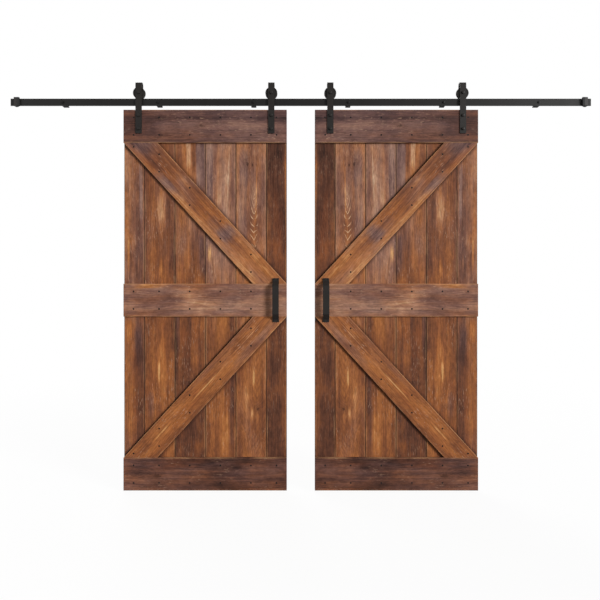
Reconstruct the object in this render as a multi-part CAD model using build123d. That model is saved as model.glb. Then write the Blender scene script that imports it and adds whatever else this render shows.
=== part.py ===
from build123d import *
import math
import os

# Double sliding barn door: two mirrored plank leaves with K-shaped bracing hang by
# J-shaped strap hangers and grooved wheels from one flat steel rail.
#
# Millimetres. Origin on the wall plane, at the rail's mid-length and mid-height.
# X runs along the rail, Y points into the wall, Z is up, so the door's front faces -Y.
# Each leaf is drawn on the +X side, with its meeting edge nearest the origin.

# Flat steel rail
rail_length = 3259.0
rail_height = 40.0
rail_thickness = 6.0
rail_edge_ease = 0.8

# Standoffs and the lag screws that hold the rail off the wall
standoff_count = 6
standoff_from_end = 292.5
standoff_length = 43.0
standoff_ease = 1.0
lag_shank_radius = 4.0
lag_thread_radius = 3.5
lag_embedment = 40.0
lag_hole_clearance = 0.5
lag_head_flats = 12.7
lag_head_height = 5.3

# Leaves
leaf_width = 914.4
leaf_height = 2133.6
leaf_gap = 158.4
meeting_gap = 2.0
rail_to_leaf = 25.0
plank_thickness = 20.0
inner_planks = 4
edge_plank_face = 114.2
tongue_length = 7.0
tongue_thickness = 6.0
tongue_clearance = 0.3
seam_bevel = 1.2
board_thickness = 15.0
cross_board_height = 184.0
brace_width = 140.0
board_ease = 1.5

# Wheels, which run on the rail's top edge and turn on a bush
tread_radius = 30.0
tread_gap = 0.3
flange_height = 3.5
wheel_width = 20.0
groove_side_gap = 0.5
wheel_pass_gap = 2.5
bush_radius = 9.0
bush_bore_gap = 0.05
wheel_bore_gap = 0.06

# J-shaped strap hangers
strap_width = 35.0
strap_thickness = 5.0
strap_bend_radius = 8.0
strap_wheel_gap = 1.0
strap_crown_gap = 21.0
strap_tail_gap = 8.0
strap_on_leaf = 133.0
strap_from_edge = 86.0
strap_corner = 2.0

# Hanger bolts: one size serves as axle and as strap bolt
bolt_radius = 5.0
bolt_hole_gap = 0.25
bolt_head_flats = 16.0
bolt_head_height = 6.4
bolt_past_nut = 2.0
first_bolt_drop = 32.0
strap_bolt_pitch = 75.0
nut_flats = 16.0
nut_height = 8.0
nut_bore_gap = 0.05

# Pull handles: flat bar bent at both ends
handle_width = 36.0
handle_height = 246.0
handle_thickness = 5.0
handle_reach = 40.0
handle_foot = 15.0
handle_slope = 31.0
handle_bend_radius = 4.0
handle_from_edge = 61.0

# End stops clamped on the rail
stop_from_end = 24.5
stop_width = 16.0
stop_front = 14.0
stop_lip = 4.5
stop_hook = 5.0
stop_hook_thickness = 4.0
stop_rail_gap = 0.2
stop_ease = 2.0
bumper_width = 11.0
bumper_overhang = 0.5
bumper_round = 3.5
set_screw_radius = 3.0
set_screw_gap = 0.05
set_screw_proud = 2.0

# Depths, from the wall plane towards the room
rail_back_y = -standoff_length
rail_front_y = rail_back_y - rail_thickness
rail_mid_y = rail_back_y - rail_thickness / 2
leg_gap_half = wheel_width / 2 + strap_wheel_gap
leaf_front_y = rail_mid_y - leg_gap_half
strap_front_y = leaf_front_y - strap_thickness
strap_tail_front_y = rail_mid_y + leg_gap_half
strap_tail_back_y = strap_tail_front_y + strap_thickness
plank_front_y = leaf_front_y + board_thickness
leaf_back_y = plank_front_y + plank_thickness

# Heights
rail_top_z = rail_height / 2
leaf_top_z = -rail_top_z - rail_to_leaf
leaf_bottom_z = leaf_top_z - leaf_height
axle_z = rail_top_z + tread_radius + tread_gap
flange_radius = tread_radius + flange_height
crown_z = axle_z + flange_radius + strap_crown_gap
tail_z = rail_top_z + strap_tail_gap
strap_bottom_z = leaf_top_z - strap_on_leaf
standoff_side = rail_height - 2 * (flange_height + wheel_pass_gap)

# Leaf layout
leaf_inner_x = leaf_gap / 2
leaf_outer_x = leaf_inner_x + leaf_width
inner_strap_x = leaf_inner_x + strap_from_edge
outer_strap_x = leaf_outer_x - strap_from_edge
handle_x = leaf_inner_x + handle_from_edge
inner_plank_face = (leaf_width - 2 * edge_plank_face) / inner_planks
bay_height = (leaf_height - 3 * cross_board_height) / 2
mid_board_z = leaf_top_z - leaf_height / 2
strap_bolt_zs = (leaf_top_z - first_bolt_drop, leaf_top_z - first_bolt_drop - strap_bolt_pitch)
stop_outer_x = rail_length / 2 - stop_from_end
stop_inner_x = stop_outer_x - stop_width

# How far each leaf rolls: out until its outer wheel meets the bumper, in until the leaves all but meet
bumper_top_z = rail_top_z + stop_lip + bumper_overhang
wheel_reach = math.sqrt(flange_radius**2 - (axle_z - bumper_top_z) ** 2)
roll_out = stop_inner_x - bumper_width - outer_strap_x - wheel_reach
roll_in = (leaf_gap - meeting_gap) / 2


def rod(radius, x, z, front_y, back_y):
    """A round bar or drill along Y, between two depths."""
    plane = Plane((x, front_y, z), x_dir=(1, 0, 0), z_dir=(0, 1, 0))
    return extrude(plane * Circle(radius), back_y - front_y)


def hex_rod(flats, x, z, front_y, back_y):
    """A hexagonal bar along Y, its size across the flats."""
    plane = Plane((x, front_y, z), x_dir=(1, 0, 0), z_dir=(0, 1, 0))
    return extrude(plane * RegularPolygon(flats / 2, 6, major_radius=False), back_y - front_y)


def turned(points, x, z, y):
    """A turned piece: half-section points (radius, depth) spun about the line along Y at x, z."""
    section = make_face(Polyline(*points, close=True))
    axis_plane = Plane((x, y, z), x_dir=(1, 0, 0), z_dir=(0, 0, 1))
    return revolve(axis_plane * section, Axis((x, y, z), (0, 1, 0)))


def block(x0, x1, y0, y1, z0, z1):
    """A rectangular solid between two corners."""
    centre = ((x0 + x1) / 2, (y0 + y1) / 2, (z0 + z1) / 2)
    return Pos(*centre) * Box(abs(x1 - x0), abs(y1 - y0), abs(z1 - z0))


def front_edges(solid):
    """Edges of the solid's foremost face."""
    return solid.faces().sort_by(Axis.Y)[0].edges()


def standoff_xs():
    """Standoff positions, evenly spaced about the middle of the rail."""
    span = rail_length - 2 * standoff_from_end
    pitch = span / (standoff_count - 1)
    return [i * pitch - span / 2 for i in range(standoff_count)]


def strap_xs():
    """Inner and outer hanger positions on the leaf, by name."""
    return {"inner": inner_strap_x, "outer": outer_strap_x}


# The track: rail, standoffs, lag screws and end stops


def make_rail():
    """Flat bar with a hole for each lag screw."""
    half = rail_length / 2
    rail = block(-half, half, rail_front_y, rail_back_y, -rail_top_z, rail_top_z)
    rail = chamfer(rail.edges().filter_by(Axis.X), rail_edge_ease)
    for x in standoff_xs():
        rail -= rod(lag_shank_radius + lag_hole_clearance, x, 0, rail_front_y, rail_back_y)
    return rail


def make_standoff(x):
    """Square spacer, drilled right through, between the rail and the wall."""
    half = standoff_side / 2
    spacer = block(x - half, x + half, rail_back_y, 0, -half, half)
    spacer = chamfer(spacer.edges().filter_by(Axis.Y), standoff_ease)
    return spacer - rod(lag_shank_radius + lag_hole_clearance, x, 0, rail_back_y, 0)


def make_lag_screw(x):
    """Hex head on the rail's face, plain shank to the wall, thread at its mean diameter beyond."""
    head = hex_rod(lag_head_flats, x, 0, rail_front_y - lag_head_height, rail_front_y)
    shank = rod(lag_shank_radius, x, 0, rail_front_y, 0)
    return head + shank + rod(lag_thread_radius, x, 0, 0, lag_embedment)


def stop_screw_x():
    """The set screw sits in the middle of the clamp's width."""
    return (stop_inner_x + stop_outer_x) / 2


def make_stop_body():
    """C-shaped clamp that hooks over both edges of the rail."""
    top = rail_top_z + stop_lip
    front = rail_front_y - stop_front
    back = rail_back_y + stop_rail_gap + stop_hook_thickness
    clamp = block(stop_inner_x, stop_outer_x, front, back, -top, top)
    clamp = chamfer(clamp.edges().filter_by(Axis.X), stop_ease)
    slot_top = rail_top_z + stop_rail_gap
    slot_front = rail_front_y - stop_rail_gap
    slot_back = rail_back_y + stop_rail_gap
    hook_z = rail_top_z - stop_hook
    clamp -= block(stop_inner_x, stop_outer_x, slot_front, slot_back, -slot_top, slot_top)
    clamp -= block(stop_inner_x, stop_outer_x, slot_back, back, -hook_z, hook_z)
    drill = Plane((stop_screw_x(), rail_mid_y, -top), z_dir=(0, 0, 1))
    return clamp - extrude(drill * Circle(set_screw_radius + set_screw_gap), stop_lip)


def make_stop_bumper():
    """Rubber block on the clamp's inner face, rounded where it stands past the rail's edges."""
    front = rail_front_y - stop_front
    inner_x = stop_inner_x - bumper_width
    pad = block(inner_x, stop_inner_x, front, rail_front_y, -bumper_top_z, bumper_top_z)
    return fillet(pad.edges().filter_by(Axis.X), bumper_round)


def make_set_screw():
    """Set screw through the clamp's lower lip, tightened against the rail."""
    low = -rail_top_z - stop_lip - set_screw_proud
    base = Plane((stop_screw_x(), rail_mid_y, low), z_dir=(0, 0, 1))
    return extrude(base * Circle(set_screw_radius), -rail_top_z - low)


# The hanger hardware, drawn on the +X leaf


def strap_drills(x):
    """Drills for a strap's axle and for the two bolts that clamp it to its leaf."""
    radius = bolt_radius + bolt_hole_gap
    leaf_holes = [rod(radius, x, z, strap_front_y, leaf_front_y) for z in strap_bolt_zs]
    return [rod(radius, x, axle_z, strap_front_y, strap_tail_back_y), *leaf_holes]


def make_strap(x):
    """Flat bar bent into a J over the wheel: long leg on the leaf, short tail behind the rail."""
    half = strap_thickness / 2
    spine = FilletPolyline(
        (leaf_front_y - half, strap_bottom_z),
        (leaf_front_y - half, crown_z + half),
        (strap_tail_front_y + half, crown_z + half),
        (strap_tail_front_y + half, tail_z),
        radius=strap_bend_radius + half,
    )
    side = trace(Wire(spine.edges()), strap_thickness)
    across = Plane((x - strap_width / 2, 0, 0), x_dir=(0, 1, 0), z_dir=(1, 0, 0))
    strap = extrude(across * side, strap_width)
    corners = strap.edges().filter_by(Axis.Y).group_by(Axis.Z)[0]
    strap = chamfer(corners, strap_corner)
    return strap - strap_drills(x)


def make_bolt(x, z, nut_face_y):
    """Hex bolt: head in front of the strap, shank right through to just past its nut."""
    head = hex_rod(bolt_head_flats, x, z, strap_front_y - bolt_head_height, strap_front_y)
    return head + rod(bolt_radius, x, z, strap_front_y, nut_face_y + nut_height + bolt_past_nut)


def make_nut(x, z, face_y):
    """Hex nut against the face behind it."""
    body = hex_rod(nut_flats, x, z, face_y, face_y + nut_height)
    return body - rod(bolt_radius + nut_bore_gap, x, z, face_y, face_y + nut_height)


def make_bush(x):
    """Sleeve on the axle bolt, clamped between the strap's legs."""
    ends = rail_mid_y - leg_gap_half, rail_mid_y + leg_gap_half
    return rod(bush_radius, x, axle_z, *ends) - rod(bolt_radius + bush_bore_gap, x, axle_z, *ends)


def make_wheel(x):
    """Turned wheel whose groove straddles the rail, with flanks that open out to its rims."""
    half = wheel_width / 2
    groove = rail_thickness / 2 + groove_side_gap
    bore = bush_radius + wheel_bore_gap
    return turned(
        [
            (bore, -half),
            (flange_radius, -half),
            (tread_radius, -groove),
            (tread_radius, groove),
            (flange_radius, half),
            (bore, half),
        ],
        x, axle_z, rail_mid_y,
    )


# The leaf, drawn on the +X side


def leaf_drills():
    """The holes that the strap bolts need through the boards and planks."""
    radius = bolt_radius + bolt_hole_gap
    places = [(x, z) for x in strap_xs().values() for z in strap_bolt_zs]
    return [rod(radius, x, z, leaf_front_y, leaf_back_y) for x, z in places]


def drilled(solid, drills):
    """The solid less those drills that reach it."""
    reach = solid.bounding_box()
    for drill in drills:
        box = drill.bounding_box()
        spans = zip(box.min, box.max, reach.min, reach.max)
        shared = [min(high, top) - max(low, bottom) for low, high, bottom, top in spans]
        if min(shared) > 0:
            solid -= drill
    return solid


def plank_edges():
    """X of every plank seam, from the meeting edge outwards."""
    edges = [leaf_inner_x, leaf_inner_x + edge_plank_face]
    for _ in range(inner_planks):
        edges.append(edges[-1] + inner_plank_face)
    edges.append(leaf_outer_x)
    return edges


def make_plank(x0, x1, drills):
    """Plank with a groove towards the meeting edge and a tongue outwards, but none at the leaf's edges."""
    mid = (plank_front_y + leaf_back_y) / 2
    front, back = plank_front_y, leaf_back_y
    groove = tongue_thickness / 2 + tongue_clearance
    tongue = tongue_thickness / 2
    outline = [
        (x0, front + seam_bevel),
        (x0 + seam_bevel, front),
        (x1 - seam_bevel, front),
        (x1, front + seam_bevel),
    ]
    if x1 < leaf_outer_x:
        tip = x1 + tongue_length - tongue_clearance
        outline += [(x1, mid - tongue), (tip, mid - tongue), (tip, mid + tongue), (x1, mid + tongue)]
    outline += [(x1, back), (x0, back)]
    if x0 > leaf_inner_x:
        root = x0 + tongue_length
        outline += [(x0, mid + groove), (root, mid + groove), (root, mid - groove), (x0, mid - groove)]
    section = Plane((0, 0, leaf_bottom_z)) * make_face(Polyline(*outline, close=True))
    return drilled(extrude(section, leaf_height), drills)


def make_cross_board(centre_z, drills):
    """Horizontal board across the front of the planks."""
    half = cross_board_height / 2
    board = block(leaf_inner_x, leaf_outer_x, leaf_front_y, plank_front_y, centre_z - half, centre_z + half)
    board = chamfer(front_edges(board), board_ease)
    return drilled(board, drills)


def brace_run():
    """Length of the brace's level cut, so that its width across the grain is brace_width.

    A brace whose cut is w wide leans over leaf_width - w in one bay's height, and w times
    the sine of its slope is brace_width. This is the positive root of that quadratic.
    """
    a = bay_height**2 - brace_width**2
    b = 2 * leaf_width * brace_width**2
    c = -(brace_width**2) * (bay_height**2 + leaf_width**2)
    return (-b + math.sqrt(b**2 - 4 * a * c)) / (2 * a)


def make_brace(upward, drills):
    """Diagonal board from the middle board's meeting-edge corner to the outer corner of its bay."""
    mid_edge = mid_board_z + upward * cross_board_height / 2
    far_edge = mid_edge + upward * bay_height
    run = brace_run()
    outline = [
        (leaf_inner_x, mid_edge),
        (leaf_inner_x + run, mid_edge),
        (leaf_outer_x, far_edge),
        (leaf_outer_x - run, far_edge),
    ]
    plane = Plane((0, plank_front_y, 0), x_dir=(1, 0, 0), z_dir=(0, -1, 0))
    board = extrude(plane * make_face(Polyline(*outline, close=True)), board_thickness)
    board = chamfer(front_edges(board), board_ease)
    return drilled(board, drills)


def make_handle():
    """Flat-bar pull: two feet on the leaf, two sloped shanks and a straight grip."""
    half = handle_thickness / 2
    foot_y = leaf_front_y - half
    grip_y = leaf_front_y - handle_reach + half
    end = handle_height / 2
    knee = end - handle_foot
    grip = knee - handle_slope
    lower = [(foot_y, -end), (foot_y, -knee), (grip_y, -grip)]
    upper = [(grip_y, grip), (foot_y, knee), (foot_y, end)]
    spine = FilletPolyline(*lower, *upper, radius=handle_bend_radius + half)
    side = trace(Wire(spine.edges()), handle_thickness)
    across = Plane((handle_x - handle_width / 2, 0, mid_board_z), x_dir=(0, 1, 0), z_dir=(1, 0, 0))
    return extrude(across * side, handle_width)


def group(pieces):
    """Identical fasteners as separate solids of one node."""
    return Compound([piece.solid() for piece in pieces])


def make_leaf():
    """Every piece of one leaf on the +X side, by name."""
    drills = leaf_drills()
    edges = plank_edges()
    xs = strap_xs()
    pieces = {}
    for i, (x0, x1) in enumerate(zip(edges, edges[1:])):
        pieces[f"plank_{i + 1}"] = make_plank(x0, x1, drills)
    half = cross_board_height / 2
    pieces["top_board"] = make_cross_board(leaf_top_z - half, drills)
    pieces["middle_board"] = make_cross_board(mid_board_z, drills)
    pieces["bottom_board"] = make_cross_board(leaf_bottom_z + half, drills)
    pieces["upper_brace"] = make_brace(1, drills)
    pieces["lower_brace"] = make_brace(-1, drills)
    pieces["handle"] = make_handle()
    for name, x in xs.items():
        pieces[f"{name}_strap"] = make_strap(x)
        pieces[f"{name}_wheel"] = make_wheel(x)
    places = [(x, z) for x in xs.values() for z in strap_bolt_zs]
    pieces["strap_bolts"] = group(make_bolt(x, z, leaf_back_y) for x, z in places)
    pieces["strap_nuts"] = group(make_nut(x, z, leaf_back_y) for x, z in places)
    pieces["axle_bolts"] = group(make_bolt(x, axle_z, strap_tail_back_y) for x in xs.values())
    pieces["axle_nuts"] = group(make_nut(x, axle_z, strap_tail_back_y) for x in xs.values())
    pieces["axle_bushes"] = group(make_bush(x) for x in xs.values())
    return pieces


def main():
    os.makedirs("parts", exist_ok=True)
    nodes = {"rail": make_rail()}
    for i, x in enumerate(standoff_xs()):
        nodes[f"standoff_{i + 1}"] = make_standoff(x)
    nodes["lag_screws"] = group(make_lag_screw(x) for x in standoff_xs())

    stop_pieces = {"stop_body": make_stop_body(), "stop_bumper": make_stop_bumper()}
    set_screw = make_set_screw()
    nodes["stop_screws"] = group([set_screw, mirror(set_screw, about=Plane.YZ)])

    for name, piece in {**make_leaf(), **stop_pieces}.items():
        nodes[f"right_{name}"] = piece
        nodes[f"left_{name}"] = mirror(piece, about=Plane.YZ)

    for name, piece in nodes.items():
        export_step(piece, f"parts/{name}.step")
    print(f"{len(nodes)} nodes")
    print(f"each leaf rolls {roll_out:.2f} mm out and {roll_in:.2f} mm in")
    print(f"wheel axles at x {inner_strap_x:.2f} and {outer_strap_x:.2f}, y {rail_mid_y:.2f}, z {axle_z:.2f}")


main()
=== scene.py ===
import math

import bmesh
import bpy
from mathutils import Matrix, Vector


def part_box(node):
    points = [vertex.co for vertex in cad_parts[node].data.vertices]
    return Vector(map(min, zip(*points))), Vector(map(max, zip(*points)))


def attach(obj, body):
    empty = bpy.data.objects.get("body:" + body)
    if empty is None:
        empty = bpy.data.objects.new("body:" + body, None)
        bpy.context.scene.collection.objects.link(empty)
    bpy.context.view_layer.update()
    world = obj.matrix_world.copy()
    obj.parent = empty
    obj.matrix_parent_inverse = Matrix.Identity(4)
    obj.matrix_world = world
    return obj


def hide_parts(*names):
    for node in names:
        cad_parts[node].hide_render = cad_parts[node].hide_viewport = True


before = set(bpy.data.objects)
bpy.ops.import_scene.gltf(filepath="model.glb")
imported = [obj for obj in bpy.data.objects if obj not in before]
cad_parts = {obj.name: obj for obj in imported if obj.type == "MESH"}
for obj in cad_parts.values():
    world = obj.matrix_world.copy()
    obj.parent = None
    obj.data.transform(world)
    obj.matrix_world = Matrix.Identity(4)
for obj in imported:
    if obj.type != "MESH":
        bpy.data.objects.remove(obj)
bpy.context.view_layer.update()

# Metres, in the row frame: the rail runs along X, the door's front faces -Y, Z is up.
# The two leaves mirror each other about x = 0, in their wood's pattern too, so each
# material is written for the right leaf and reads the distance from the middle.

SIDES = {"left": -1, "right": 1}
MM = 0.001


def srgb(*levels):
    """Linear colour from three display levels of 0 to 255, none of them near black."""
    return tuple(((level / 255 + 0.055) / 1.055) ** 2.4 for level in levels)


# Two stain ramps, darkest first: warm, and the greyer pink that the upper half leans to
WARM = (srgb(50, 32, 26), srgb(90, 56, 42), srgb(126, 76, 47), srgb(162, 101, 56), srgb(196, 144, 92))
COOL = (srgb(52, 39, 39), srgb(86, 63, 61), srgb(120, 90, 82), srgb(154, 120, 103), srgb(194, 162, 138))
RAMP_PLACES = (0.0, 0.24, 0.5, 0.76, 1.0)
# Dark stain of the pores and seams, and also the colour of the painted shade beside the braces
DARK_STAIN_AND_SHADE = srgb(46, 30, 25)
UMBER = srgb(84, 54, 43)
TAN = srgb(198, 150, 106)
PALE = srgb(212, 172, 134)
BLEACHED = srgb(186, 148, 122)
RUST = srgb(152, 80, 40)
KNOT = srgb(48, 31, 25)
DUST = srgb(112, 100, 94)
RAIL_COAT = (0.0085, 0.0078, 0.0073)
HARDWARE_COAT = (0.0148, 0.0126, 0.0112)
# Black oxide of the screws, and the darker colour painted on the standoffs as shade
BLACK_OXIDE_AND_SHADE = (0.004, 0.0035, 0.0032)
RUBBER = (0.012, 0.012, 0.012)
BARE_STEEL = (0.42, 0.42, 0.43)

# Grain: rings to a metre, depth of the pith, and how knots bend the rings
RING_RATE = 105.0
RING_WOBBLE = 0.024
PITH_DEPTH = 0.012
KNOT_LENGTH = 0.6
KNOT_LIFT = 2.2
KNOT_FALLOFF = 0.16

# Bands and arches fade at both ends, and an arch's points are blunt at its foot and sharper above
BAND_FADE = 0.12
ARCH_REACH = 0.026
ARCH_PITCH = 0.037
ARCH_SWAY = 0.006
ARCH_LIFT = 0.016
ARCH_BLUNT = 0.2
ARCH_SLOPES = (1.3, 9.0)
ARCH_FOOT = 0.05
ARCH_HEAD = 0.25

# Distances at which a mark is full and has faded out, from an edge or from the planks' front
SEAM = (0.0014, 0.0046)
# Pale edges, partly wear and partly a painted highlight where the eased edges catch the light
PLANK_WEAR_AND_HIGHLIGHT = (0.005, 0.0095)
BOARD_WEAR_AND_HIGHLIGHT = (0.0015, 0.005)
FRONT_MARKS = (0.001, 0.003)
# Painted shade: how far the darkening reaches out from a brace's edge onto the planks
PAINTED_SHADE_REACH = 0.022

# How strongly each mark shows in the wood's colour
FIBRE_SHADE = 0.10
COARSE_SHADE = 0.20
MOTTLE_SHADE = 0.28
PORE_DARK = 0.3
# How pale the edges are, from wear and painted highlight
PLANK_WORN_AND_HIGHLIT = 0.26
BOARD_WORN_AND_HIGHLIT = 0.5
# How dark the painted shade beside the braces is
PAINTED_SHADE_DARK = 0.62
HALO_DARK = 0.35
CORE_DARK = 0.6
WOOD_GLOSS = 0.07


class Graph:
    """A material's nodes, with one short call for each kind of node."""

    def __init__(self, name):
        self.material = bpy.data.materials.new(name)
        self.material.use_nodes = True
        self.tree = self.material.node_tree
        self.tree.nodes.clear()
        self.output = self.add("ShaderNodeOutputMaterial")
        self.shader = self.add("ShaderNodeBsdfPrincipled")
        self.tree.links.new(self.shader.outputs[0], self.output.inputs[0])

    def add(self, kind, **settings):
        """A new node with those settings."""
        node = self.tree.nodes.new(kind)
        for key, value in settings.items():
            setattr(node, key, value)
        return node

    def feed(self, socket, value):
        """Links a socket, or sets a plain value on it."""
        if isinstance(value, bpy.types.NodeSocket):
            self.tree.links.new(value, socket)
        elif isinstance(value, (tuple, list)) and len(value) == 3 and socket.type == "RGBA":
            socket.default_value = (*value, 1.0)
        else:
            socket.default_value = value

    def put(self, name, value):
        """Feeds one input of the surface shader."""
        self.feed(self.shader.inputs[name], value)

    def math(self, operation, a, b=0.0):
        """The result of a Math node."""
        node = self.add("ShaderNodeMath", operation=operation)
        self.feed(node.inputs[0], a)
        self.feed(node.inputs[1], b)
        return node.outputs[0]

    def plus(self, *terms):
        """The sum of the terms."""
        total = terms[0]
        for term in terms[1:]:
            total = self.math("ADD", total, term)
        return total

    def times(self, a, b):
        """The product of two values."""
        return self.math("MULTIPLY", a, b)

    def step(self, value, start, end, low=0.0, high=1.0):
        """A smooth step of the value between start and end."""
        node = self.add("ShaderNodeMapRange", interpolation_type="SMOOTHSTEP")
        for socket, given in zip(node.inputs, (value, start, end, low, high)):
            self.feed(socket, given)
        return node.outputs[0]

    def dot(self, a, b):
        """How far a place lies along a direction."""
        node = self.add("ShaderNodeVectorMath", operation="DOT_PRODUCT")
        self.feed(node.inputs[0], a)
        self.feed(node.inputs[1], b)
        return node.outputs["Value"]

    def join(self, x, y, z):
        """A vector from its three parts."""
        node = self.add("ShaderNodeCombineXYZ")
        for socket, value in zip(node.inputs, (x, y, z)):
            self.feed(socket, value)
        return node.outputs[0]

    def noise(self, vector, scale=1.0, detail=2.0, roughness=0.5):
        """Noise from about -1 to 1."""
        node = self.add("ShaderNodeTexNoise", noise_dimensions="3D")
        settings = {"Vector": vector, "Scale": scale, "Detail": detail, "Roughness": roughness}
        for name, value in settings.items():
            self.feed(node.inputs[name], value)
        return self.plus(self.times(node.outputs["Fac"], 4.0), -2.0)

    def ramp(self, value, stops):
        """The colour at that value, on a ramp of (position, colour) stops."""
        node = self.add("ShaderNodeValToRGB")
        self.feed(node.inputs[0], value)
        elements = node.color_ramp.elements
        while len(elements) < len(stops):
            elements.new(0.5)
        for element, (position, colour) in zip(elements, stops):
            element.position = position
            element.color = (*colour, 1.0)
        return node.outputs[0]

    def mix(self, amount, a, b):
        """Colour a, turned towards colour b by that amount."""
        node = self.add("ShaderNodeMix", data_type="RGBA")
        self.feed(node.inputs["Factor"], amount)
        self.feed(node.inputs[6], a)
        self.feed(node.inputs[7], b)
        return node.outputs[2]

    def scaled(self, colour, amount):
        """A colour made lighter or darker by that factor."""
        node = self.add("ShaderNodeVectorMath", operation="SCALE")
        self.feed(node.inputs[0], colour)
        self.feed(node.inputs["Scale"], amount)
        return node.outputs[0]

    def bump(self, height, strength, distance):
        """Fine relief on the shader, from a height."""
        node = self.add("ShaderNodeBump")
        self.feed(node.inputs["Strength"], strength)
        self.feed(node.inputs["Distance"], distance)
        self.feed(node.inputs["Height"], height)
        self.put("Normal", node.outputs[0])

    def position(self, mirrored=False):
        """Object position; mirrored gives the same pattern on both leaves."""
        place = self.add("ShaderNodeTexCoord").outputs["Object"]
        if not mirrored:
            return place
        split = self.add("ShaderNodeSeparateXYZ")
        self.feed(split.inputs[0], place)
        return self.join(self.math("ABSOLUTE", split.outputs[0]), split.outputs[1], split.outputs[2])


class Board:
    """Where one board's grain runs, and how its stain took.

    Tone and pink are pairs, for the two places along the grain in span. A scratch program
    fitted them to the photograph's mean colours there, and they were rounded. Slant is how
    fast the rings drift off the grain, and streaks, blotch and flecks are amounts. A band is
    (across from, to, along from, to, lift of tone, lift of pink), an arch is (across, along
    from, to) and a knot is (across, along, radius).
    """

    def __init__(
        self, name, along, across, edges, span, tone, pink, pith, seed=0.0, slant=0.06,
        streaks=0.13, blotch=0.26, flecks=0.45, knots=(), bands=(), arches=(),
    ):
        self.name = name
        self.along = along
        self.across = across
        self.edges = edges
        self.span = span
        self.tone = tone
        self.pink = pink
        self.pith = pith
        self.seed = seed
        self.slant = slant
        self.streaks = streaks
        self.blotch = blotch
        self.flecks = flecks
        self.knots = knots
        self.bands = bands
        self.arches = arches


class Grain:
    """Places on one board, for the noises that follow its grain."""

    def __init__(self, graph, board):
        place = graph.position(mirrored=True)
        self.graph = graph
        self.seed = board.seed
        self.across = graph.dot(place, board.across)
        self.along = graph.dot(place, board.along)
        self.depth = graph.dot(place, (0, 1, 0))

    def noise(self, rate_across, rate_along, seed, **settings):
        """Noise from about -1 to 1, with its own rate across and along the grain."""
        graph = self.graph
        shifted = graph.plus(graph.times(self.along, rate_along), self.seed + seed)
        sideways = graph.times(self.across, rate_across)
        return graph.noise(graph.join(sideways, graph.times(self.depth, rate_across), shifted), **settings)


def ring_phase(graph, grain, board, wobble):
    """Growth rings from 0 to 1, bent round the knots, with the knots' cores and halos."""
    from_pith = graph.plus(grain.across, -board.pith, wobble)
    beneath = graph.plus(grain.depth, -BOARD_FRONT - PITH_DEPTH)
    reach = graph.math("SQRT", graph.plus(graph.times(from_pith, from_pith), graph.times(beneath, beneath)))
    rings = graph.times(graph.plus(reach, graph.times(grain.along, -board.slant)), RING_RATE)
    core = halo = 0.0
    for knot_across, knot_along, radius in board.knots:
        off_across = graph.times(graph.plus(grain.across, -knot_across), 1 / radius)
        off_along = graph.times(graph.plus(grain.along, -knot_along), KNOT_LENGTH / radius)
        ragged = graph.times(grain.noise(110.0, 70.0, 5.0, detail=3.0), 0.8)
        spread = graph.plus(graph.times(off_across, off_across), graph.times(off_along, off_along), ragged)
        lift = graph.math("EXPONENT", graph.times(spread, -KNOT_FALLOFF))
        rings = graph.plus(rings, graph.times(lift, KNOT_LIFT))
        core = graph.math("MAXIMUM", core, graph.step(spread, 0.1, 1.0, 1.0, 0.0))
        halo = graph.math("MAXIMUM", halo, lift)
    return graph.math("FRACT", rings), core, halo


def band_mask(graph, grain, place, wobble):
    """A soft streak between two places across the grain and two along it."""
    low, high, bottom, top = place
    middle, half = (low + high) / 2, (high - low) / 2
    off = graph.math("ABSOLUTE", graph.plus(grain.across, graph.times(wobble, 0.35), -middle))
    sideways = graph.step(off, half * 0.6, half * 1.3, 1.0, 0.0)
    fade = min(BAND_FADE, (top - bottom) / 2)
    foot = graph.step(grain.along, bottom, bottom + fade)
    head = graph.step(grain.along, top - fade, top, 1.0, 0.0)
    return graph.times(sideways, graph.times(foot, head))


def arch_lines(graph, grain, arch):
    """The pale side of the growth rings, where they come to a point down the board."""
    middle, bottom, top = arch
    waver = grain.noise(26.0, 11.0, 97.0, detail=4.0, roughness=0.6)
    off = graph.math("ABSOLUTE", graph.plus(grain.across, -middle, graph.times(waver, ARCH_SWAY)))
    slope = graph.step(grain.along, bottom + ARCH_BLUNT, top, *ARCH_SLOPES)
    fall = graph.times(off, graph.times(slope, -1.0))
    height = graph.plus(grain.along, fall, graph.times(waver, ARCH_LIFT))
    phase = graph.math("FRACT", graph.times(height, 1 / ARCH_PITCH))
    line = graph.times(graph.step(phase, 0.0, 0.07), graph.step(phase, 0.10, 0.26, 1.0, 0.0))
    broken = graph.step(grain.noise(60.0, 22.0, 103.0, detail=2.0), -0.7, 0.2)
    line = graph.times(line, broken)
    near = graph.step(off, ARCH_REACH * 0.4, ARCH_REACH, 1.0, 0.0)
    foot = graph.step(grain.along, bottom, bottom + ARCH_FOOT)
    head = graph.step(grain.along, top - ARCH_HEAD, top, 1.0, 0.0)
    return graph.times(line, graph.times(near, graph.times(foot, head)))


def painted_brace_shade(graph):
    """Painted shade on the planks, in the corners beside both edges of the braces, where their shadows
    fall.
    """
    place = graph.position(mirrored=True)
    half = BRACE_WIDTH / 2
    brace_shade = 0.0
    for name in ("upper_brace", "lower_brace"):
        start, _, sideways = brace_line(f"right_{name}")
        across = graph.dot(place, (sideways.x, 0, sideways.y))
        off = graph.math("ABSOLUTE", graph.plus(across, -start.dot(sideways)))
        brace_shade = graph.math("MAXIMUM", brace_shade, graph.step(off, half, half + PAINTED_SHADE_REACH, 1.0, 0.0))
    return brace_shade


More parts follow.
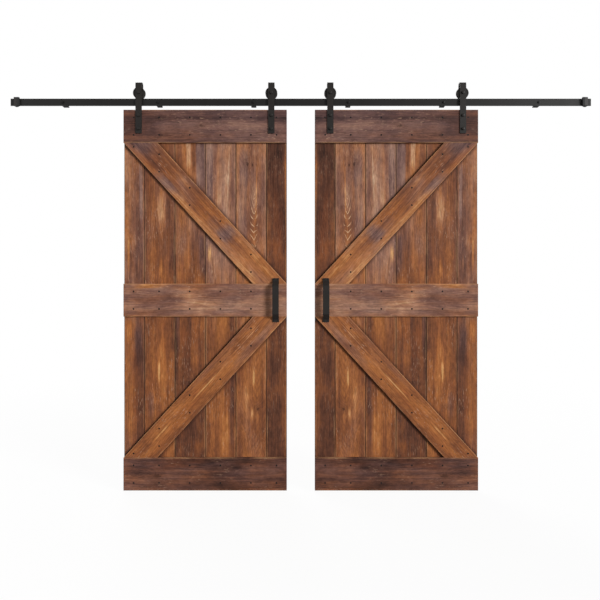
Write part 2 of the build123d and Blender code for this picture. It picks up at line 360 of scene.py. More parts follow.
def stain(graph, grain, board, wobble, late):
    """Uneven stain: tone in streaks, bands and blotches, and patches of pink and rust."""
    shift = graph.step(grain.along, *board.span)
    streak = grain.noise(38.0, 1.2, 11.0, detail=4.0, roughness=0.65)
    band = grain.noise(17.0, 0.8, 23.0, detail=1.0)
    edged = graph.step(grain.noise(21.0, 0.5, 29.0, detail=1.0), -0.1, 0.1, -0.5, 0.5)
    blotch = grain.noise(11.0, 4.5, 37.0, detail=5.0, roughness=0.66)
    tone = graph.plus(board.tone[0], graph.times(shift, board.tone[1] - board.tone[0]))
    tone = graph.plus(
        tone, graph.times(streak, board.streaks), graph.times(band, 0.14), graph.times(edged, 0.05),
    )
    tone = graph.plus(tone, graph.times(blotch, board.blotch), graph.times(late, -0.09))
    haze = grain.noise(12.0, 3.0, 51.0, detail=4.0, roughness=0.62)
    pink = graph.plus(
        board.pink[0], graph.times(shift, board.pink[1] - board.pink[0]), graph.times(haze, 0.4),
    )
    for *place, lift, pinker in board.bands:
        mask = band_mask(graph, grain, place, wobble)
        tone = graph.plus(tone, graph.times(mask, lift))
        pink = graph.plus(pink, graph.times(mask, pinker))
    pink = graph.step(pink, -0.1, 1.1)
    warm = graph.ramp(tone, list(zip(RAMP_PLACES, WARM)))
    cool = graph.ramp(tone, list(zip(RAMP_PLACES, COOL)))
    orange = graph.step(grain.noise(14.0, 2.6, 43.0, detail=4.0, roughness=0.6), 0.1, 0.9)
    return graph.mix(pink, graph.mix(graph.times(orange, 0.2), warm, RUST), cool)


def wood(board):
    """Stained, brushed softwood: rings, knots, fibre, pale flecks, dark seams, edges paled by wear and by
    painted highlight, and painted shade beside the braces.
    """
    graph = Graph(f"stained_{board.name}")
    grain = Grain(graph, board)
    wobble = graph.times(grain.noise(7.0, 1.3, 0.0, detail=3.0), RING_WOBBLE)
    phase, core, halo = ring_phase(graph, grain, board, wobble)
    late = graph.times(graph.step(phase, 0.35, 0.88), graph.step(phase, 0.9, 1.0, 1.0, 0.0))
    colour = stain(graph, grain, board, wobble, late)

    fibre = grain.noise(430.0, 6.0, 3.0, detail=2.0)
    coarse = grain.noise(150.0, 5.0, 9.0, detail=3.0, roughness=0.65)
    mottle = grain.noise(70.0, 30.0, 13.0, detail=3.0, roughness=0.7)
    shade = graph.plus(
        1.0,
        graph.times(fibre, FIBRE_SHADE),
        graph.times(coarse, COARSE_SHADE),
        graph.times(mottle, MOTTLE_SHADE),
    )
    colour = graph.scaled(colour, shade)

    patchy = graph.step(grain.noise(12.0, 6.0, 61.0, detail=2.0), -0.3, 0.6)
    fleck = graph.times(graph.step(grain.noise(210.0, 32.0, 71.0, detail=3.0), 0.3, 0.72), patchy)
    colour = graph.mix(graph.times(fleck, board.flecks), colour, BLEACHED)
    pore = graph.step(grain.noise(240.0, 14.0, 83.0, detail=2.0), 0.35, 0.9)
    colour = graph.mix(graph.times(pore, PORE_DARK), colour, DARK_STAIN_AND_SHADE)
    kept, gone = FRONT_MARKS
    front = graph.step(grain.depth, PLANK_FRONT + kept, PLANK_FRONT + gone, 1.0, 0.0)
    for arch in board.arches:
        colour = graph.mix(graph.times(arch_lines(graph, grain, arch), front), colour, PALE)

    low, high = board.edges
    from_edge = graph.math(
        "MINIMUM", graph.plus(grain.across, -low), graph.math("SUBTRACT", high, grain.across),
    )
    broken = graph.step(grain.noise(20.0, 7.0, 91.0, detail=3.0), -0.5, 0.5)
    planked = board.name.startswith("plank")
    # Pale edges: partly wear, partly a painted highlight along the eased edges of the boards
    wear_and_highlight, amount = (PLANK_WEAR_AND_HIGHLIGHT, PLANK_WORN_AND_HIGHLIT) if planked else (BOARD_WEAR_AND_HIGHLIGHT, BOARD_WORN_AND_HIGHLIT)
    worn_and_highlit = graph.times(graph.step(from_edge, *wear_and_highlight, 1.0, 0.0), broken)
    colour = graph.mix(graph.times(worn_and_highlit, amount), colour, TAN)
    if planked:
        seam = graph.times(
            graph.step(from_edge, *SEAM, 1.0, 0.0), graph.plus(0.85, graph.times(broken, -0.25)),
        )
        colour = graph.mix(seam, colour, DARK_STAIN_AND_SHADE)
        # Painted shade: the planks darken beside the braces, standing in for the braces' shadows
        colour = graph.mix(graph.times(painted_brace_shade(graph), graph.times(front, PAINTED_SHADE_DARK)), colour, DARK_STAIN_AND_SHADE)
    if board.knots:
        colour = graph.mix(graph.times(halo, HALO_DARK), colour, UMBER)
        colour = graph.mix(graph.times(core, CORE_DARK), colour, KNOT)

    graph.put("Base Color", colour)
    graph.put("Roughness", graph.plus(0.58, graph.times(coarse, 0.06), graph.times(late, -0.08)))
    graph.put("Specular IOR Level", WOOD_GLOSS)
    relief = graph.plus(graph.times(late, 0.5), graph.times(fibre, 0.25), graph.times(coarse, 0.35))
    graph.bump(relief, strength=0.4, distance=0.0006)
    return graph.material


def powder_coat(name, colour, gloss=0.14):
    """Matte black powder coat: fine orange peel, faint dust and slightly uneven gloss."""
    graph = Graph(name)
    place = graph.position()
    peel = graph.noise(place, scale=900.0, detail=2.0)
    patch = graph.noise(place, scale=14.0, detail=4.0)
    dust = graph.step(graph.noise(place, scale=420.0, detail=1.0), 0.9, 1.3)
    dusty = graph.mix(graph.times(dust, 0.2), colour, DUST)
    graph.put("Base Color", graph.scaled(dusty, graph.plus(1.0, graph.times(patch, 0.09))))
    graph.put("Roughness", graph.plus(0.48, graph.times(patch, 0.05)))
    graph.put("Specular IOR Level", gloss)
    graph.bump(peel, strength=0.05, distance=0.00008)
    return graph.material


def rubber():
    """Black rubber, dull, with a faint bloom."""
    graph = Graph("black_bumper_rubber")
    place = graph.position()
    bloom = graph.noise(place, scale=60.0, detail=5.0)
    grain = graph.noise(place, scale=1400.0, detail=1.0)
    graph.put("Base Color", graph.scaled(RUBBER, graph.plus(1.2, graph.times(bloom, 0.3))))
    graph.put("Roughness", graph.plus(0.78, graph.times(bloom, 0.05)))
    graph.put("Specular IOR Level", 0.25)
    graph.bump(grain, strength=0.2, distance=0.0001)
    return graph.material


def turned_steel():
    """Bare turned steel of the axle bushes."""
    graph = Graph("turned_bush_steel")
    place = graph.position()
    lathe = graph.noise(graph.join(0.0, graph.times(graph.dot(place, (0, 1, 0)), 5000.0), 0.0), detail=1.0)
    smudge = graph.noise(place, scale=90.0, detail=3.0)
    graph.put("Base Color", graph.scaled(BARE_STEEL, graph.plus(1.0, graph.times(smudge, 0.1))))
    graph.put("Metallic", 1.0)
    graph.put("Roughness", graph.plus(0.34, graph.times(smudge, 0.05)))
    graph.bump(lathe, strength=0.3, distance=0.00005)
    return graph.material


# The right leaf's outer edge, its faces and its foot, from the frame

leaf_low, leaf_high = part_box("right_top_board")
OUTER_X = leaf_high.x
BOARD_FRONT = leaf_low.y
PLANK_FRONT = leaf_high.y
LEAF_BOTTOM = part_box("right_bottom_board")[0].z


def end_centre(node, upper):
    """Middle of the level end of a brace, in X and Z."""
    low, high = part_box(node)
    end = high.z if upper else low.z
    corners = [vert.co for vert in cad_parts[node].data.vertices]
    near = [corner.x for corner in corners if abs(corner.z - end) < 1 * MM]
    return (min(near) + max(near)) / 2, end


def brace_line(node):
    """Start, direction and cross direction of a brace, in X and Z."""
    upper = node.endswith("upper_brace")
    start = Vector(end_centre(node, not upper))
    finish = Vector(end_centre(node, upper))
    direction = (finish - start).normalized()
    return start, direction, Vector((-direction.y, direction.x))


BRACE_WIDTH = 0.140

# Where along the grain the planks and cross boards have their two tones
PLANK_SPAN = (-1.56, -0.66)
CROSS_SPAN = (0.30, 0.77)
PLANK_LINES = [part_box(f"right_plank_{i}")[0].x for i in range(1, 7)] + [OUTER_X]


def plank(index, tone, pink, pith, **extra):
    """A plank's board: its grain runs up the leaf, and pith is a share of its width."""
    low, high = PLANK_LINES[index - 1], PLANK_LINES[index]
    middle = low + pith * (high - low)
    upright, sideways = (0, 0, 1), (1, 0, 0)
    return Board(f"plank_{index}", upright, sideways, (low, high), PLANK_SPAN, tone, pink, middle, **extra)


def cross_board(name, tone, pink, pith, **extra):
    """A cross board: its grain runs along the rail, and pith is a share of its height."""
    low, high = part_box(f"right_{name}")
    middle = low.z + pith * (high.z - low.z)
    return Board(name, (1, 0, 0), (0, 0, 1), (low.z, high.z), CROSS_SPAN, tone, pink, middle, **extra)


def brace(name, tone, pink, pith, **extra):
    """A diagonal brace: pith and its bands are shares of its width, and of its length outwards."""
    start, direction, sideways = brace_line(f"right_{name}")
    if direction.x < 0:
        direction, sideways = -direction, -sideways
    centre = start.dot(sideways)
    edges = (centre - BRACE_WIDTH / 2, centre + BRACE_WIDTH / 2)
    low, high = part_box(f"right_{name}")
    inner = start.dot(direction) + (low.x - start.x) / direction.x
    length = (high.x - low.x) / direction.x
    span = (inner + 0.25 * length, inner + 0.75 * length)
    extra["bands"] = [
        (edges[0] + side * BRACE_WIDTH, edges[0] + far_side * BRACE_WIDTH,
         inner + begin * length, inner + end * length, *lifts)
        for side, far_side, begin, end, *lifts in extra.get("bands", ())
    ]
    return Board(
        name, (direction.x, 0, direction.y), (sideways.x, 0, sideways.y), edges, span,
        tone, pink, edges[0] + pith * BRACE_WIDTH, **extra,
    )


def boards():
    """Every board of the right leaf."""
    return [
        plank(1, (0.42, 0.19), (-0.7, -0.54), 1.3, seed=1.0, flecks=0.22, bands=[
            (0.079, 0.090, -1.1, -0.25, 0.26, -0.6), (0.079, 0.088, -2.0, -1.3, 0.2, -0.6),
            (0.12, 0.17, -0.5, -0.2, -0.06, 0.5), (0.10, 0.16, -1.0, -0.65, 0.08, -0.6),
        ]),
        plank(2, (0.6, 0.7), (0.14, 0.42), 0.38, seed=2.3, slant=0.22, arches=[(0.2635, -0.86, -0.36)],
              knots=[(0.300, -0.345, 0.009), (0.272, -0.35, 0.006), (0.240, -1.725, 0.008)],
              bands=[(0.262, 0.272, -1.62, -1.48, 0.34, 0.0), (0.266, 0.280, -1.80, -1.70, 0.36, 0.1),
                     (0.246, 0.254, -0.72, -0.33, 0.22, -0.3), (0.30, 0.345, -0.9, -0.2, -0.1, 0.3)]),
        plank(3, (0.5, 0.55), (-0.01, 0.68), 0.75, seed=3.1, bands=[
            (0.399, 0.480, -0.66, -0.15, 0.20, -0.1), (0.404, 0.412, -0.62, -0.2, 0.16, 0.1),
            (0.41, 0.472, -2.05, -1.6, 0.18, -0.3), (0.415, 0.477, -1.42, -1.15, 0.14, -0.3),
            (0.500, 0.530, -0.62, -0.2, -0.14, 0.3), (0.370, 0.398, -2.0, -1.1, -0.16, 0.1),
            (0.505, 0.525, -0.92, -0.78, 0.3, -0.6),
        ]),
        plank(4, (0.28, 0.55), (-0.46, 0.21), 0.4, seed=4.7, knots=[(0.63, -1.575, 0.007)], bands=[
            (0.618, 0.648, -0.42, -0.12, 0.26, 0.4), (0.534, 0.590, -0.55, -0.15, 0.06, 0.8),
            (0.534, 0.574, -1.02, -0.70, -0.22, 0.3), (0.55, 0.60, -1.98, -1.88, 0.2, -0.8),
            (0.585, 0.615, -1.55, -1.1, 0.12, -0.6), (0.68, 0.706, -1.5, -1.1, -0.12, 0.5),
        ]),
        plank(5, (0.54, 0.48), (-0.24, 0.3), 0.5, seed=5.9, bands=[
            (0.765, 0.812, -0.74, -0.46, 0.32, 0.2), (0.711, 0.745, -1.02, -0.70, -0.2, 0.1),
            (0.795, 0.806, -1.62, -1.40, 0.34, 0.0), (0.76, 0.82, -1.72, -1.3, 0.12, -0.4),
            (0.83, 0.875, -1.85, -1.55, -0.07, 0.45), (0.785, 0.80, -1.0, -0.86, 0.18, -0.8),
        ]),
        plank(6, (0.43, 0.6), (0.09, 0.44), 1.4, seed=6.2, bands=[
            (0.888, 0.905, -0.72, -0.30, 0.24, 0.5), (0.966, 0.978, -1.0, -0.70, 0.26, -0.2),
            (0.905, 0.915, -1.0, -0.82, 0.24, 0.0), (0.89, 0.93, -1.45, -1.2, -0.05, 0.4),
            (0.95, 0.975, -1.4, -1.2, 0.14, -0.8),
        ]),
        cross_board("top_board", (0.38, 0.33), (0.77, 0.5), 1.4, seed=7.7, streaks=0.07, blotch=0.24,
                    knots=[(-0.1355, 0.556, 0.010), (-0.185, 0.786, 0.011)],
                    bands=[(-0.20, -0.10, 0.20, 0.86, 0.10, 0.0), (-0.10, -0.045, -0.5, 1.5, -0.10, 0.1)]),
        cross_board("middle_board", (0.65, 0.6), (0.59, 0.59), 0.3, seed=8.4, flecks=0.62, blotch=0.3,
                    bands=[(-1.045, -1.02, 0.72, 0.97, 0.2, -0.6)]),
        cross_board("bottom_board", (0.26, 0.37), (0.34, 0.27), -0.4, seed=9.2, flecks=0.5, blotch=0.28,
                    knots=[(-2.0955, 0.804, 0.015)]),
        brace("upper_brace", (0.74, 0.52), (0.2, 0.12), 0.3, seed=10.6, slant=0.05, bands=[
            (0.3, 0.9, 0.33, 0.43, -0.12, 0.7), (0.0, 0.35, 0.62, 0.78, -0.12, 0.6),
            (0.5, 0.9, 0.60, 0.72, 0.12, 0.3), (0.35, 0.75, 0.45, 0.58, 0.10, -0.4),
            (0.0, 1.0, 0.80, 1.1, 0.0, 0.45),
        ]),
        brace("lower_brace", (0.67, 0.54), (0.09, -0.24), 0.6, seed=11.8, slant=0.05, flecks=0.6, bands=[
            (0.56, 0.61, 0.12, 0.36, 0.30, 0.2), (0.64, 0.67, 0.10, 0.30, 0.26, 0.1),
            (0.50, 0.55, 0.38, 0.62, 0.26, 0.2), (0.54, 0.60, 0.66, 0.86, 0.28, 0.1),
            (0.05, 0.35, 0.10, 0.40, -0.10, 0.2), (0.0, 1.0, 0.40, 0.62, -0.08, 0.0),
        ]),
    ]


def dress(node, material):
    """Gives a CAD node its material."""
    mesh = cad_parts[node].data
    mesh.materials.clear()
    mesh.materials.append(material)


def dress_cad_nodes():
    """Gives every CAD node its material, and returns the coat of the bolts, nuts and wheels."""
    wooden = set()
    for board in boards():
        material = wood(board)
        for side in SIDES:
            dress(f"{side}_{board.name}", material)
            wooden.add(f"{side}_{board.name}")
    coat = powder_coat("hardware_powder_coat", HARDWARE_COAT)
    rail_coat = powder_coat("rail_powder_coat", RAIL_COAT)
    # Painted shade: the standoffs behind the rail get a darker, duller black with little gloss, for the
    # shade they sit in
    standoff_shaded_coat = powder_coat("standoff_powder_coat", BLACK_OXIDE_AND_SHADE, gloss=0.04)
    stop_coat = powder_coat("stop_powder_coat", HARDWARE_COAT, gloss=0.2)
    pad, steel = rubber(), turned_steel()
    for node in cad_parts:
        if node.endswith("axle_bushes"):
            dress(node, steel)
        elif node.endswith("stop_bumper"):
            dress(node, pad)
        elif node == "rail":
            dress(node, rail_coat)
        elif node.startswith("standoff"):
            dress(node, standoff_shaded_coat)
        elif node.endswith("stop_body"):
            dress(node, stop_coat)
        elif node not in wooden:
            dress(node, coat)
    return coat


# Finer forms of the small CAD nodes, and the screws that only the visual model has


SHARP_ANGLE = 32

# Hexagons, in shares of their size across flats: the chamfer's rings, the corners and the washer face
CHAMFER = ((0.48, 0.0), (0.515, 0.017), (0.545, 0.034), (0.58, 0.058))
CORNERS = 0.58
WASHER = 0.47

# Where a thread's crest starts and ends, in shares of its pitch
CREST_START, CREST_END = 0.42, 0.56

BOLT_FLATS, BOLT_RADIUS, BOLT_ROOT, BOLT_PITCH = 16 * MM, 5 * MM, 4.2 * MM, 1.5 * MM
BOLT_HEAD, BOLT_THREAD, BOLT_TIP = 6.4 * MM, 14 * MM, 0.8
NUT_GAP, FACE_EASE = 0.05 * MM, 0.5 * MM
LAG_FLATS, LAG_SHANK, LAG_CREST, LAG_ROOT = 12.7 * MM, 4 * MM, 4 * MM, 2.9 * MM
LAG_PITCH, LAG_POINT, LAG_TIP = 3 * MM, 8 * MM, 0.3 * MM
SOCKET_FLATS, SOCKET_DEPTH, SET_SCREW_EASE = 3 * MM, 2.5 * MM, 0.16

# Wheels, in millimetres: the CAD's tread, groove and bore, then the hub and the sunk web
TREAD, GROOVE, BORE = 30.0, 3.5, 9.06
HUB, WEB, WEB_SINK = 19.0, 27.0, 1.6
WHEEL_SEGMENTS = 96

# Board screws: flat top and star in shares of the head's radius, star's floor in shares of its mouth
SCREW_RADIUS, SCREW_PROUD, SCREW_SUNK, SCREW_RECESS = 5.0 * MM, 0.5 * MM, 0.2 * MM, 0.4 * MM
SCREW_TOP, STAR_INNER, STAR_POINTS, STAR_FLOOR = 0.86, 0.34, 0.16, 0.9
SCREW_ROW = 49 * MM
END_SCREW_DROP = 24 * MM

# Radians that each board screw is turned from the one before
SCREW_TURN = 0.7

# Handle screws, which sit in the feet of the flat bar
HANDLE_THICKNESS = 5 * MM
FOOT_SCREW_RADIUS = 3.9 * MM
FOOT_SCREW_DROP = 7.5 * MM
FOOT_SCREW_SPREAD = 10 * MM
FOOT_SCREW_TURN = 0.0147


def mesh_piece(name, form, material, body, replaced=None):
    """A black steel piece from a bmesh, which rides on a body and may stand for a CAD node."""
    bmesh.ops.recalc_face_normals(form, faces=form.faces)
    mesh = bpy.data.meshes.new(name)
    form.to_mesh(mesh)
    form.free()
    mesh.materials.append(material)
    mesh.polygons.foreach_set("use_smooth", [True] * len(mesh.polygons))
    mesh.set_sharp_from_angle(angle=math.radians(SHARP_ANGLE))
    piece = bpy.data.objects.new(name, mesh)
    bpy.context.scene.collection.objects.link(piece)
    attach(piece, body)
    if replaced:
        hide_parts(replaced)


def along_y(x, z):
    """Places points of a form spun about the line along Y at x, z."""
    return lambda across, up, depth: (x + across, depth, z + up)


def along_z(x, y):
    """Places points of a form spun about the upright line at x, y."""
    return lambda across, up, height: (x + across, y + up, height)


def add_spun(form, rings, place, segments=48, looped=False):
    """Adds a form from rings of (radius, position along its axis, flats).

    A ring with flats is a hexagon of that size across them, clipped to the radius. A looped
    form is a ring with a bore; any other is closed at both ends.
    """
    loops = []
    for radius, position, *flats in rings:
        loop = []
        for i in range(segments):
            angle = math.tau * i / segments
            reach = radius
            if flats:
                from_flat = (angle + math.pi / 6) % (math.pi / 3) - math.pi / 6
                reach = min(radius, flats[0] / 2 / math.cos(from_flat))
            loop.append(form.verts.new(place(reach * math.cos(angle), reach * math.sin(angle), position)))
        loops.append(loop)
    pairs = list(zip(loops, loops[1:]))
    if looped:
        pairs.append((loops[-1], loops[0]))
    else:
        form.faces.new(loops[0])
        form.faces.new(loops[-1])
    for near, far in pairs:
        for i in range(segments):
            j = (i + 1) % segments
            form.faces.new((near[i], near[j], far[j], far[i]))


def chamfered_hex(flats, outer, inner):
    """Rings of a hexagon's corner chamfer, from its outer face towards its inner one."""
    sign = 1 if inner > outer else -1
    rings = []
    for share, drop in CHAMFER:
        rings.append((flats * share, outer + sign * flats * drop, flats))
    return rings


def threaded(crest, root, pitch, start, end):
    """Rings of a thread's crests and roots between two positions."""
    rings, position = [], start
    while position + pitch <= end:
        rings.append((root, position))
        rings += [(crest, position + CREST_START * pitch), (crest, position + CREST_END * pitch)]
        position += pitch
    return rings + [(root, position)]


def islands(node):
    """Low and high corners of each separate solid of a CAD node, in order of X and then Z."""
    form = bmesh.new()
    form.from_mesh(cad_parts[node].data)
    bmesh.ops.remove_doubles(form, verts=form.verts, dist=1e-6)
    waiting, found = set(form.verts), []
    while waiting:
        stack, group = [waiting.pop()], []
        while stack:
            vert = stack.pop()
            group.append(vert.co)
            for edge in vert.link_edges:
                other = edge.other_vert(vert)
                if other in waiting:
                    waiting.remove(other)
                    stack.append(other)
        lows = [min(point[axis] for point in group) for axis in range(3)]
        highs = [max(point[axis] for point in group) for axis in range(3)]
        found.append((Vector(lows), Vector(highs)))
    form.free()
    return sorted(found, key=lambda box: (round(box[0].x, 4), round(box[0].z, 4)))


def bolts(node, coat, body):
    """Hex bolts with chamfered heads, washer faces and threaded ends."""
    form = bmesh.new()
    for low, high in islands(node):
        seat = low.y + BOLT_HEAD
        place = along_y((low.x + high.x) / 2, (low.z + high.z) / 2)
        head = chamfered_hex(BOLT_FLATS, low.y, seat)
        under = seat - FACE_EASE
        head += [(BOLT_FLATS * CORNERS, under, BOLT_FLATS), (BOLT_FLATS * WASHER, under)]
        shank = [(BOLT_FLATS * WASHER, seat), (BOLT_RADIUS, seat), (BOLT_RADIUS, high.y - BOLT_THREAD)]
        thread = threaded(BOLT_RADIUS, BOLT_ROOT, BOLT_PITCH, high.y - BOLT_THREAD, high.y)
        add_spun(form, head + shank + thread + [(BOLT_TIP * BOLT_ROOT, high.y)], place)
    mesh_piece(f"{node}_threaded", form, coat, body, node)


def nuts(node, coat, body):
    """Hex nuts, chamfered at both faces and at the mouth of the bore."""
    form = bmesh.new()
    bore = BOLT_RADIUS + NUT_GAP
    for low, high in islands(node):
        place = along_y((low.x + high.x) / 2, (low.z + high.z) / 2)
        outer = chamfered_hex(BOLT_FLATS, low.y, high.y) + chamfered_hex(BOLT_FLATS, high.y, low.y)[::-1]
        inner = [(bore + FACE_EASE, high.y), (bore, high.y - FACE_EASE)]
        inner += [(bore, low.y + FACE_EASE), (bore + FACE_EASE, low.y)]
        add_spun(form, outer + inner, place, looped=True)
    mesh_piece(f"{node}_chamfered", form, coat, body, node)


def lag_screws(coat):
    """Lag screws with chamfered heads, coarse threads in the wall and drawn points."""
    form = bmesh.new()
    for low, high in islands("lag_screws"):
        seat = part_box("rail")[0].y
        place = along_y((low.x + high.x) / 2, (low.z + high.z) / 2)
        head = chamfered_hex(LAG_FLATS, low.y, seat) + [(LAG_FLATS * CORNERS, seat, LAG_FLATS)]
        shank = [(LAG_SHANK, seat), (LAG_SHANK, 0.0)]
        thread = threaded(LAG_CREST, LAG_ROOT, LAG_PITCH, 0.0, high.y - LAG_POINT)
        add_spun(form, head + shank + thread + [(LAG_TIP, high.y)], place)
    mesh_piece("lag_screws_threaded", form, coat, "track", "lag_screws")


def stop_screws(coat):
    """Set screws with a hexagon socket in their lower end."""
    form = bmesh.new()
    for low, high in islands("stop_screws"):
        radius = (high.x - low.x) / 2
        place = along_z((low.x + high.x) / 2, (low.y + high.y) / 2)
        ease = SET_SCREW_EASE * radius
        rings = [(SOCKET_FLATS, low.z + SOCKET_DEPTH, SOCKET_FLATS), (SOCKET_FLATS, low.z, SOCKET_FLATS)]
        rings += [(radius - ease, low.z), (radius, low.z + ease), (radius, high.z)]
        add_spun(form, rings, place)
    mesh_piece("stop_screws_socketed", form, coat, "track", "stop_screws")


def wheel(side, place, coat):
    """A turned wheel with eased rims, a sunk web on both faces and a groove for the rail."""
    node = f"{side}_{place}_wheel"
    low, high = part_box(node)
    middle = (low.y + high.y) / 2
    face, rim = (high.y - low.y) / 2 / MM, (high.z - low.z) / 2 / MM
    sunk = face - WEB_SINK
    # Radius, and depth out from the wheel's middle, with small steps that ease the corners
    section = [
        (BORE + 0.5, face), (HUB - 0.4, face), (HUB, face - 0.4), (HUB + 0.8, sunk),
        (WEB - 0.6, sunk), (WEB, face - 0.5), (WEB + 0.5, face),
        (rim - 0.9, face), (rim - 0.25, face - 0.3), (rim, face - 0.9), (rim - 0.2, face - 1.1),
        (TREAD + 0.3, GROOVE + 0.5), (TREAD, GROOVE),
    ]
    back = [(radius * MM, middle + depth * MM) for radius, depth in section]
    front = [(radius * MM, middle - depth * MM) for radius, depth in section]
    bores = [(BORE * MM, middle - (face - 0.5) * MM), (BORE * MM, middle + (face - 0.5) * MM)]
    form = bmesh.new()
    spot = along_y((low.x + high.x) / 2, (low.z + high.z) / 2)
    add_spun(form, back + front[::-1] + bores, spot, segments=WHEEL_SEGMENTS, looped=True)
    mesh_piece(f"{side}_{place}_turned_wheel", form, coat, f"{side}_{place}_wheel_unit", node)


def add_screw_head(form, x, z, front, turn, radius=SCREW_RADIUS, points=6):
    """A countersunk head with a star-shaped recess, flush but for its rim."""
    count = points * 6
    rim = front - SCREW_PROUD
    outline, mouth, floor, base = [], [], [], []
    for i in range(count):
        angle = turn + math.tau * i / count
        wave = 0.5 + 0.5 * math.cos(points * (angle - turn))
        drive = radius * (STAR_INNER + STAR_POINTS * wave)
        cos, sin = math.cos(angle), math.sin(angle)
        for ring, reach, depth in (
            (base, radius, front + SCREW_SUNK),
            (outline, SCREW_TOP * radius, rim),
            (mouth, drive, rim),
            (floor, STAR_FLOOR * drive, rim + SCREW_RECESS),
        ):
            ring.append(form.verts.new((x + reach * cos, depth, z + reach * sin)))
    for near, far in ((base, outline), (outline, mouth), (mouth, floor)):
        for i in range(count):
            j = (i + 1) % count
            form.faces.new((near[i], near[j], far[j], far[i]))
    form.faces.new(floor)
    form.faces.new(base)


def handle_screws(side, material):
    """Two screws through each foot of a handle."""
    low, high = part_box(f"{side}_handle")
    middle = (low.x + high.x) / 2
    foot_front = BOARD_FRONT - HANDLE_THICKNESS
    form = bmesh.new()
    for z in (low.z + FOOT_SCREW_DROP, high.z - FOOT_SCREW_DROP):
        for off in (-FOOT_SCREW_SPREAD, FOOT_SCREW_SPREAD):
            turn = -math.copysign(FOOT_SCREW_TURN, off)
            add_screw_head(form, middle + off, z, foot_front, turn, radius=FOOT_SCREW_RADIUS)
    mesh_piece(f"{side}_handle_screws", form, material, f"{side}_door")


def screw_places():
    """Every board screw of the right leaf, in X and Z."""
    centres = [(low + high) / 2 for low, high in zip(PLANK_LINES, PLANK_LINES[1:])]
    places = []
    for node in ("right_top_board", "right_middle_board", "right_bottom_board"):
        low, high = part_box(node)
        middle = (low.z + high.z) / 2
        places += [(x, middle + row) for x in centres for row in (-SCREW_ROW, SCREW_ROW)]
    for name in ("upper_brace", "lower_brace"):
        start, direction, _ = brace_line(f"right_{name}")
        slope = direction.y / direction.x
        places += [
            (x, start.y + (x - start.x) * slope + row)
            for x in centres[1:-1] for row in (-SCREW_ROW, SCREW_ROW)
        ]
        low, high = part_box(f"right_{name}")
        far = high.z - END_SCREW_DROP if name == "upper_brace" else low.z + END_SCREW_DROP
        places.append((centres[-1], far))
    return places


def hidden_by_strap(x, z):
    """Whether a hanger's strap covers that place, so the screw there was left out."""
    for place in ("inner", "outer"):
        low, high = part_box(f"right_{place}_strap")
        if low.x - SCREW_RADIUS < x < high.x + SCREW_RADIUS and z > low.z - SCREW_RADIUS:
            return True
    return False


def board_screws(material):
    """The heads of the screws that hold the front boards of both leaves."""
    for side, sign in SIDES.items():
        form = bmesh.new()
        for i, (x, z) in enumerate(screw_places()):
            if not hidden_by_strap(x, z):
                add_screw_head(form, sign * x, z, BOARD_FRONT, SCREW_TURN * i)
        mesh_piece(f"{side}_board_screws", form, material, f"{side}_door")


# Staging: the floor, the distances at which it turns from almost to fully white, and the world's fill
FLOOR_SIZE, FLOOR_GAP = 30.0, 0.012
FLOOR_FADE = (0.8, 6.0)
FLOOR_WHITE = (0.94, 1.0)
FLOOR_GREY = (0.5, 0.5, 0.5)
WHITE = (1.0, 1.0, 1.0)
WORLD_FILL = 0.35

# Suns are (name, energy, degrees across, place), and panels are (name, energy, place along X)
SUNS = (("key", 3.35, 20, (4.8, -4.0, 0.4)), ("rear", 1.5, 40, (-2.0, 4.0, 2.0)))
SUN_TARGET = (0.0, 0.0, -1.0)
PANELS = (("right_panel", 62.0, 3.4), ("left_panel", 32.0, -3.6))
PANEL_Y, PANEL_Z = -2.9, 0.4
PANEL_WIDTH, PANEL_HEIGHT = 1.3, 1.6

# Where a panel aims, as a share of its own place along X
PANEL_TARGET = 0.45

CAMERA_PLACE = (-0.0045, -3.057, -1.111)
CAMERA_SENSOR, CAMERA_LENS = 36.0, 32.14


def seen_as_white(nodes, links):
    """1 for camera, glossy and transmission rays, which see the background as plain white."""
    path = nodes.new("ShaderNodeLightPath")
    total = path.outputs["Is Camera Ray"]
    for name in ("Is Glossy Ray", "Is Transmission Ray"):
        either = nodes.new("ShaderNodeMath")
        either.operation = "MAXIMUM"
        links.new(total, either.inputs[0])
        links.new(path.outputs[name], either.inputs[1])
        total = either.outputs[0]
    return total


def white_stage(leaf_bottom):
    """A white floor just below the leaves, which keeps their faint shadow."""
    bpy.ops.mesh.primitive_plane_add(size=FLOOR_SIZE, location=(0, 0, leaf_bottom - FLOOR_GAP))
    floor = bpy.context.object
    floor.name = "floor"
    graph = Graph("white_floor")
    seen = seen_as_white(graph.tree.nodes, graph.tree.links)
    graph.put("Base Color", graph.mix(seen, FLOOR_GREY, WHITE))
    graph.put("Roughness", 0.9)
    graph.put("Specular IOR Level", 0.0)
    white = graph.add("ShaderNodeEmission")
    blend = graph.add("ShaderNodeMixShader")
    place = graph.position()
    away = graph.math("SQRT", graph.dot(place, place))
    graph.feed(blend.inputs[0], graph.times(seen, graph.step(away, *FLOOR_FADE, *FLOOR_WHITE)))
    graph.feed(blend.inputs[1], graph.shader.outputs[0])
    graph.feed(blend.inputs[2], white.outputs[0])
    graph.feed(graph.output.inputs[0], blend.outputs[0])
    floor.data.materials.append(graph.material)


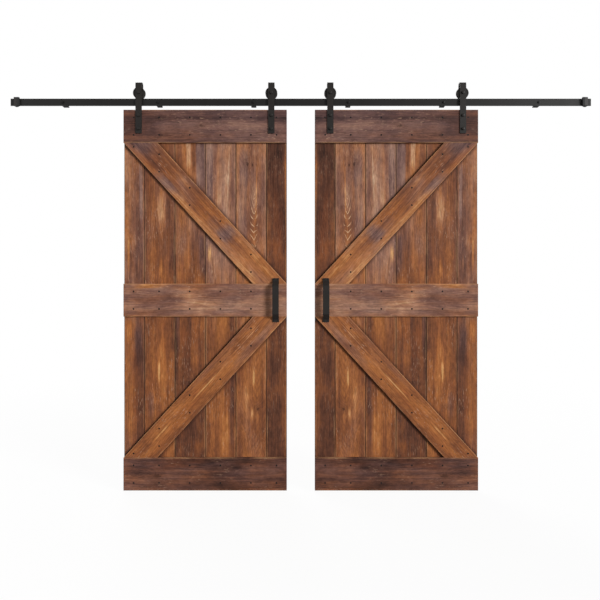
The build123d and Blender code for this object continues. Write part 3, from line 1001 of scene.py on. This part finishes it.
def white_world():
    """Soft even fill, seen as plain white."""
    world = bpy.data.worlds.new("studio")
    bpy.context.scene.world = world
    world.use_nodes = True
    nodes, links = world.node_tree.nodes, world.node_tree.links
    background = nodes["Background"]
    background.inputs["Color"].default_value = (*WHITE, 1.0)
    level = nodes.new("ShaderNodeMapRange")
    level.inputs["To Min"].default_value = WORLD_FILL
    level.inputs["To Max"].default_value = 1.0
    links.new(seen_as_white(nodes, links), level.inputs["Value"])
    links.new(level.outputs[0], background.inputs["Strength"])


def add_lamp(name, kind, energy, place, target):
    """A lamp at that place, aimed at the target."""
    data = bpy.data.lights.new(name, kind)
    data.energy = energy
    lamp = bpy.data.objects.new(name, data)
    lamp.location = place
    lamp.rotation_euler = (Vector(target) - lamp.location).to_track_quat("-Z", "Y").to_euler()
    bpy.context.scene.collection.objects.link(lamp)
    return lamp


def lamps():
    """A key from the right front, a weak one behind, and side panels that only show in gloss."""
    for name, energy, angle, place in SUNS:
        sun = add_lamp(name, "SUN", energy, place, SUN_TARGET)
        sun.data.angle = math.radians(angle)
    for name, energy, x in PANELS:
        panel = add_lamp(name, "AREA", energy, (x, PANEL_Y, PANEL_Z), (PANEL_TARGET * x, 0.0, 0.0))
        panel.data.shape = "RECTANGLE"
        panel.data.size = PANEL_WIDTH
        panel.data.size_y = PANEL_HEIGHT
        panel.visible_diffuse = False


def camera():
    """The photograph's view: square on to the leaves, at half their height."""
    data = bpy.data.cameras.new("camera")
    data.sensor_width = CAMERA_SENSOR
    data.lens = CAMERA_LENS
    eye = bpy.data.objects.new("camera", data)
    eye.location = CAMERA_PLACE
    eye.rotation_euler = (math.radians(90), 0, 0)
    bpy.context.scene.collection.objects.link(eye)
    bpy.context.scene.camera = eye


coat = dress_cad_nodes()
oxide = powder_coat("black_oxide", BLACK_OXIDE_AND_SHADE)
board_screws(oxide)
lag_screws(oxide)
stop_screws(oxide)
for side in SIDES:
    handle_screws(side, oxide)
    for group in ("strap", "axle"):
        bolts(f"{side}_{group}_bolts", coat, f"{side}_door")
        nuts(f"{side}_{group}_nuts", coat, f"{side}_door")
    for place in ("inner", "outer"):
        wheel(side, place, coat)
white_stage(LEAF_BOTTOM)
white_world()
lamps()
camera()
bpy.context.scene.view_settings.view_transform = "Standard"
